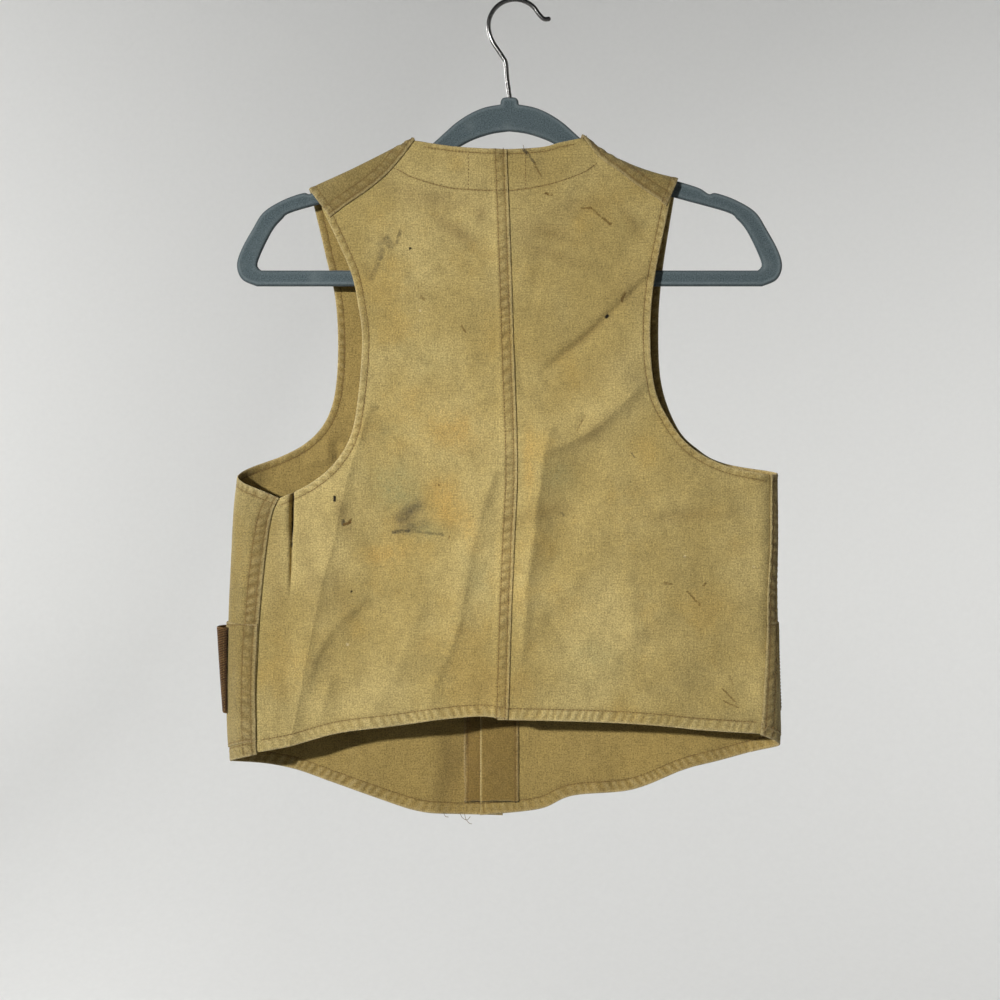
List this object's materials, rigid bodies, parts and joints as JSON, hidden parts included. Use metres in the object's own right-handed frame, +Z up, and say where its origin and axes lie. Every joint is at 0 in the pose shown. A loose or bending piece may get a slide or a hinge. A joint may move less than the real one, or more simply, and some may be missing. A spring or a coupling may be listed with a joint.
{
  "type": "hunting vest on a clothes hanger",
  "caption": "Sleeveless canvas hunting vest with a V neck, buttoned front, patch pockets and shell loops, hung on a flat clothes hanger with a wire hook.",
  "frame": {"origin": "inside top of the hook, where the hanger hangs on a rail or peg", "axes": "+Z up; -Y out of the vest's back; +X towards the wearer's right"},
  "size_m": [0.4657, 0.0668, 0.6767],
  "materials": {
    "canvas": "faded, stained khaki cotton canvas",
    "facing_canvas": "less faded khaki cotton canvas",
    "loop_cloth": "worn dark brown ribbed webbing",
    "flock": "slate grey velvet flocking",
    "steel": "bright plated steel wire",
    "horn": "dark brown horn-like buttons"
  },
  "bodies": {
    "root": {"back_left": "canvas", "back_right": "canvas", "front_left": "canvas", "front_right": "canvas", "neck_facing": "facing_canvas", "front_facing_left": "facing_canvas", "front_facing_right": "facing_canvas", "pocket_left": "canvas", "pocket_right": "canvas", "shell_loops_left": "loop_cloth", "shell_loops_right": "loop_cloth", "button_1": "horn", "button_2": "horn", "button_3": "horn", "button_4": "horn", "button_5": "horn", "hanger_body": "flock", "hanger_hook": "steel"}
  },
  "joints": []
}
